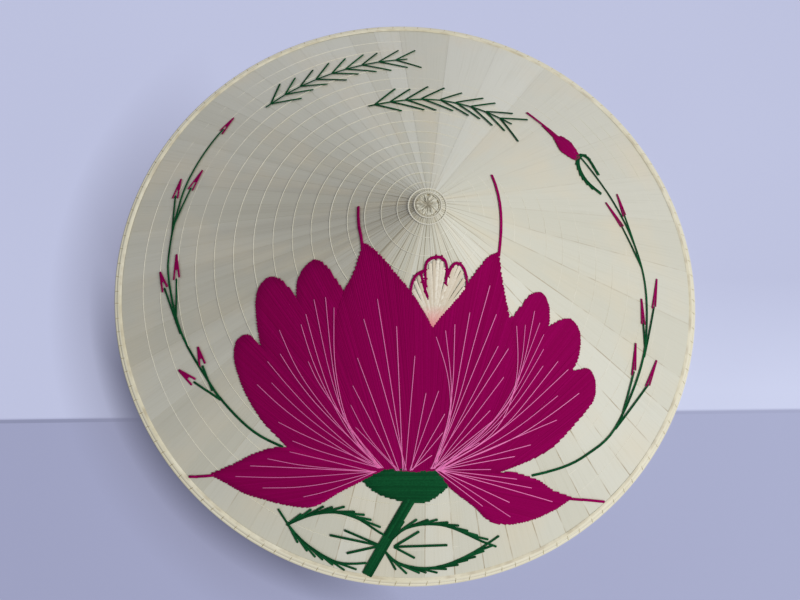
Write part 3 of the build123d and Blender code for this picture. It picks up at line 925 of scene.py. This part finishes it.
def budStitches(bm, foot, tip, spread, rng):
    # Two stitches that open from the tip toward the twig, and a short one between them.
    run = hypot(tip[0] - foot[0], tip[1] - foot[1])
    outX, outY = (tip[1] - foot[1]) / run, -(tip[0] - foot[0]) / run
    for out in (-spread, spread):
        x, y = between(foot, tip, -rng.uniform(-0.08, 0.16))
        straight(bm, tip, (x + outX * out, y + outY * out), straightYarns["bud"], rng)
    straight(bm, tip, between(foot, tip, 0.35), straightYarns["budMiddle"], rng)


bm = bmesh.new()
for side, look in sprays.items():
    twigs = bmesh.new()
    laid(twigs, look["twig"], *laidYarns["twig"], rng)
    for points in look["sideTwigs"]:
        laid(twigs, points, *laidYarns["sideTwig"], rng)
    for points in look["loops"]:
        laid(twigs, points, *laidYarns["loop"], rng, strands=2)
        echelon(twigs, points, loopTeeth["step"], loopTeeth["length"], loopTeeth["lean"],
                straightYarns["loop"], rng)
    piece(f"bud_spray_{side}_yarn", twigs, greenPaint, [f"bud_spray_{side}"])
    for foot, tip in look["buds"]:
        budStitches(bm, foot, tip, look["spread"], rng)
satin(bm, largeBud["outline"], largeBud["foot"], rng, stitch["widePitch"], largeBud["ragged"])
laid(bm, largeBud["tail"], *laidYarns["budTail"], rng)
piece("bud_yarn", bm, magentaPaint, ["spray_buds"])

# Two plain sprigs high on the back

sprigs = {
    "stems": [[(-47.5, 56.5), (-38, 63), (-25, 69), (-12, 73), (1, 75)],
              [(-13.5, 46.5), (0, 49), (10, 49), (22, 46), (32, 41)]],
    "blades": 9,
    "length": 11.0,
    "lean": 38,
}
bm = bmesh.new()
for stem in sprigs["stems"]:
    laid(bm, stem, *laidYarns["sprig"], rng)
    for flank in (1, -1):
        line = evenLine(smoothLine(stem, 6), 1.0)
        for k in range(sprigs["blades"]):
            at = int((k + 0.5) / sprigs["blades"] * (len(line) - 2))
            a, b = line[at], line[at + 1]
            lean = flank * (sprigs["lean"] + rng.uniform(-4, 4))
            tip = leaned(a, b, lean, sprigs["length"] * rng.uniform(0.85, 1.05))
            straight(bm, a, tip, straightYarns["sprig"], rng)
piece("top_sprigs_yarn", bm, greenPaint, ["top_sprigs"])
print("sprays and sprigs made")

# Sewing threads over the hoops, the two twisted rings and the knot at the tip

sewing = {
    "width": 0.00034,
    "points": 384,
    "rise": 0.00145,
    "stitches": 64,          # round each ring, the thread lifting a little between them
    "lift": 0.00012,
    "sunk": 0.00030,         # pulled down into the leaves on the right
    "sunkTowards": 1.45,
    "outerSunk": 0.00022,    # and at the back, between these shares of the way down
    "outerSunkTowards": -2.5,
    "outerSunkFrom": 0.65,
    "outerSunkFull": 0.90,
}


def held(value):
    return min(1.0, max(0.0, value))


rng = Random(400)
bm = bmesh.new()
rodSlants = hoopSlants()
for slant in rodSlants:
    outer = held((slant / rodSlants[-1] - sewing["outerSunkFrom"])
                 / (sewing["outerSunkFull"] - sewing["outerSunkFrom"]))

    def ringPlace(u, v):
        azimuth, angle = 2 * pi * v, 2 * pi * u
        lift = abs(sewing["stitches"] * v % 1 - 0.5) * sewing["lift"]
        onRight = held(1.6 * cos(azimuth - sewing["sunkTowards"]) + 0.5)
        atBack = held(1.5 * cos(azimuth - sewing["outerSunkTowards"])) * outer
        rise = sewing["rise"] + lift - onRight * sewing["sunk"] - atBack * sewing["outerSunk"]
        return around(azimuth, slant + cos(angle) * sewing["width"] / 2,
                      rise + sin(angle) * sewing["width"] / 2)

    patch(bm, 5, sewing["points"], ringPlace)
piece("sewing_threads", bm, whitePaint, ["hoop_stitches"])

tipRings = {
    "slants": (0.0077, 0.0114),
    "strand": 0.00046,
    "strandGap": 0.8,        # how far the two strands lie apart, in strands
    "twists": 26,
    "rise": 0.00172,
    "points": 260,
}
bm = bmesh.new()
for slant in tipRings["slants"]:
    for phase in (0.0, pi):
        def twistPlace(u, v):
            azimuth, angle = 2 * pi * v, 2 * pi * u
            wind = tipRings["twists"] * azimuth + phase
            half = tipRings["strand"] / 2
            wide = half * tipRings["strandGap"]
            return around(azimuth, slant + cos(wind) * wide + cos(angle) * half,
                          tipRings["rise"] + sin(wind) * wide + sin(angle) * half)

        patch(bm, 6, tipRings["points"], twistPlace)
piece("tip_ring_threads", bm, whitePaint, ["tip_rings"])

knot = {
    "folds": 11,
    "radius": 0.0070,
    "foot": 0.1386,          # height of its outer edge
    "dome": 0.0013,
    "crumple": 0.00034,
    "dimple": 0.0006,
    "wall": 0.0035,
    "rows": 14,
    "columns": 132,
}


def knotPlace(u, v):
    # A low rosette of leaf ends: crumpled between the rings, sunk in the middle.
    azimuth = 2 * pi * u
    reach = 1 - v
    crumple = (sin(knot["folds"] * azimuth + 3 * reach) + 0.8 * sin(5 * azimuth + 9 * reach)
               + 0.7 * sin(17 * azimuth - 11 * reach) + 0.5 * sin(29 * azimuth + 5 * reach))
    z = (knot["foot"] + knot["dome"] * (1 - reach ** 2) - knot["dimple"] * max(0.0, 1 - reach * 4)
         + knot["crumple"] * crumple * sin(pi * reach))
    return Vector((knot["radius"] * reach * sin(azimuth), -knot["radius"] * reach * cos(azimuth), z))


bm = markedMesh(*leafMarks)
# Painted shade in the sunk middle of the rosette: the band mark grows toward it, and the seam colour
# fills it where the edge mark is 0. The fold mark adds painted crease shade all over.
patch(bm, knot["columns"], knot["rows"], knotPlace, {
    "across": lambda u, v: u * 0.50 + 0.004 * sin(9 * v),
    "along": lambda u, v: 0.003 + (1 - v) * knot["radius"],
    "tone": lambda u, v: 0.3,
    "edge": lambda u, v: 0.01 if v < 0.68 else 0.0,
    "seam": lambda u, v: 1.0,
    "fold": lambda u, v: 0.75,
    "band": lambda u, v: 0.5 * v})
bmesh.ops.remove_doubles(bm, verts=bm.verts, dist=weld)
walls = bmesh.ops.extrude_edge_only(bm, edges=[e for e in bm.edges if e.is_boundary])["geom"]
low = [part for part in walls if isinstance(part, bmesh.types.BMVert)]
bmesh.ops.translate(bm, verts=low, vec=(0, 0, -knot["wall"]))
bmesh.ops.contextual_create(bm, geom=[part for part in walls if isinstance(part, bmesh.types.BMEdge)])
piece("tip_rosette", bm, outerLeafPaint, ["tip_knot"])
print("tip made")

# Carried-over solids: rods, rim hoop and strap loops

dressed = {"rim_hoop": rodPaint, "strap_loop_right": whitePaint, "strap_loop_left": whitePaint}
for i in range(hat["hoops"]):
    dressed[f"hoop_{i + 1:02d}"] = rodPaint
for name, look in dressed.items():
    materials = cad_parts[name].data.materials
    materials.clear()
    materials.append(look)

# Floor, light and camera

paper = {
    # painted light: the upright sheet paler than the floor, and both lighter toward the right, where the
    # sun comes from
    "sheet": "#c5cae8",
    "sheetRight": "#d6dcf8",
    "sheetFade": (-0.08, 0.0),   # where the right of the sheet turns to its plain colour
    "floor": "#a3a7c8",
    "floorRight": "#b0b5d6",
    "crease": -0.0951,       # where the upright sheet of paper gives way to the floor
    "creaseSlope": -0.0216,
    "creaseHalf": 0.0012,    # half the width of the crease's line
    # colour of the painted shade along the crease
    "creaseColour": "#8387a4",
    "dusk": "#8c8da6",       # soft shade on the floor at the left of the hat
    "duskReach": 0.044,
    "under": "#66687f",      # and a deeper one close to the rim, at the front left
    "underReach": 0.017,
    "underFrom": (-0.75, -0.66, 0.0),
    "half": 4.0,             # from its middle to its edge
}


def paperFloor(name, look):
    # Matt paper, one flat floor with painted light and shade: a pale upright sheet painted behind, the
    # floor in front painted darker, both painted lighter to the right, painted shade along the crease
    # between them, and the hat's painted soft shadows.
    material, tree = blank(name)
    spot = add(tree, "ShaderNodeTexCoord").outputs["Object"]
    xyz = add(tree, "ShaderNodeSeparateXYZ", {}, {"Vector": spot}).outputs
    # Painted light: the paper lighter toward the right, and the upright sheet, drawn on the flat floor,
    # paler than the floor in front.
    toRight = ranged(tree, xyz["X"], -0.25, 0.25)
    behind = figure(tree, "MULTIPLY_ADD", xyz["X"], -look["creaseSlope"], xyz["Y"])
    sheet = mixed(tree, toRight, paint(look["sheet"]), paint(look["sheetRight"]))
    sheet = mixed(tree, ranged(tree, behind, *look["sheetFade"]), sheet, paint(look["sheet"]))
    near = mixed(tree, toRight, paint(look["floor"]), paint(look["floorRight"]))
    crease, half = look["crease"], look["creaseHalf"]
    base = mixed(tree, ranged(tree, behind, crease - 0.0008, crease + half), near, sheet)
    # Painted shade along the crease, fainter to the right.
    line = times(tree, figure(tree, "COMPARE", behind, crease - half, half), 0.6)
    line = times(tree, line, ranged(tree, toRight, 0.0, 0.9, 1.0, 0.25))
    base = mixed(tree, line, base, paint(look["creaseColour"]))

    # Painted shadows of the hat on the floor: a soft one at its left and a deeper one close to the rim
    # at the front left.
    away = add(tree, "ShaderNodeVectorMath", {"operation": "LENGTH"}, {0: spot}).outputs["Value"]
    dusk = ranged(tree, away, hat["radius"] * 0.99, hat["radius"] + look["duskReach"], 1.0, 0.0)
    toLeft = figure(tree, "MULTIPLY_ADD", xyz["Y"], 0.35, xyz["X"])
    dusk = times(tree, dusk, ranged(tree, toLeft, -0.20, -0.08, 0.75, 0.0))
    base = mixed(tree, dusk, base, paint(look["dusk"]))
    under = ranged(tree, away, hat["radius"], hat["radius"] + look["underReach"], 0.85, 0.0)
    toFrontLeft = add(tree, "ShaderNodeVectorMath", {"operation": "DOT_PRODUCT"}, {
        0: spot, 1: look["underFrom"]}).outputs["Value"]
    under = times(tree, under, ranged(tree, toFrontLeft, 0.150, 0.188))
    base = mixed(tree, under, base, paint(look["under"]))

    mottle = ranged(tree, noise(tree, spot, 3.0), 0.3, 0.7, 0.0, 0.10)
    return coated(material, mixed(tree, mottle, base, paint(look["floor"])), 0.9, 0.2)


bm = bmesh.new()
bmesh.ops.create_grid(bm, x_segments=1, y_segments=1, size=paper["half"])
mesh = bpy.data.meshes.new("floor")
bm.to_mesh(mesh)
bm.free()
mesh.materials.append(paperFloor("pale_floor", paper))
ground = bpy.data.objects.new("floor", mesh)
scene.collection.objects.link(ground)

light = {
    "world": 0.36,
    "backdrop": "#c3c8e2",
    "sun": 2.19,
    "sunFrom": (0.518, -0.220, 0.80),
    "sunAngle": 22.0,        # degrees, a wide sun for soft shadows
}
world = bpy.data.worlds.new("studio")
world.use_nodes = True
scene.world = world
tree = world.node_tree
sky = tree.nodes["Background"]
sky.inputs["Color"].default_value = (1.0, 1.0, 1.0, 1.0)
sky.inputs["Strength"].default_value = light["world"]
seen = add(tree, "ShaderNodeBackground", {}, {"Color": paint(light["backdrop"]), "Strength": 1.0})
camRay = add(tree, "ShaderNodeLightPath").outputs["Is Camera Ray"]
both = add(tree, "ShaderNodeMixShader", {}, {
    0: camRay, 1: sky.outputs["Background"], 2: seen.outputs["Background"]})
tree.links.new(both.outputs[0], tree.nodes["World Output"].inputs["Surface"])

sun = bpy.data.lights.new("sun", "SUN")
sun.energy = light["sun"]
sun.angle = radians(light["sunAngle"])
sunObject = bpy.data.objects.new("sun", sun)
sunObject.rotation_euler = Vector(light["sunFrom"]).to_track_quat("Z", "Y").to_euler()
scene.collection.objects.link(sunObject)

# The camera looks down on the hat, a little from the front and the left, and is rolled

view = {
    "lens": 35.1,            # millimetres
    # Toward the camera, and across and up its picture before the roll
    "back": (-0.0627, -0.2600, 0.9636),
    "right": (0.9722, -0.2343, 0.0),
    "up": (0.2258, 0.9368, 0.2674),
    "distance": 2.6886,      # in hat radii
    "shift": (-0.0209, -0.0763),
    "roll": 11.602,          # degrees
}
back, right, up = (Vector(view[key]).normalized() for key in ("back", "right", "up"))
roll = radians(view["roll"])
cameraRight = right * cos(roll) + up * sin(roll)
cameraUp = up * cos(roll) - right * sin(roll)
offset = (back * view["distance"] + right * view["shift"][0] + up * view["shift"][1]) * hat["radius"]
camera = bpy.data.cameras.new("camera")
camera.lens = view["lens"]
camera.sensor_width = 36.0
cameraObject = bpy.data.objects.new("camera", camera)
cameraObject.matrix_world = Matrix.Translation(offset) @ Matrix(
    (cameraRight, cameraUp, back)).transposed().to_4x4()
scene.collection.objects.link(cameraObject)
scene.camera = cameraObject
scene.view_settings.view_transform = "Standard"
print("stage made")
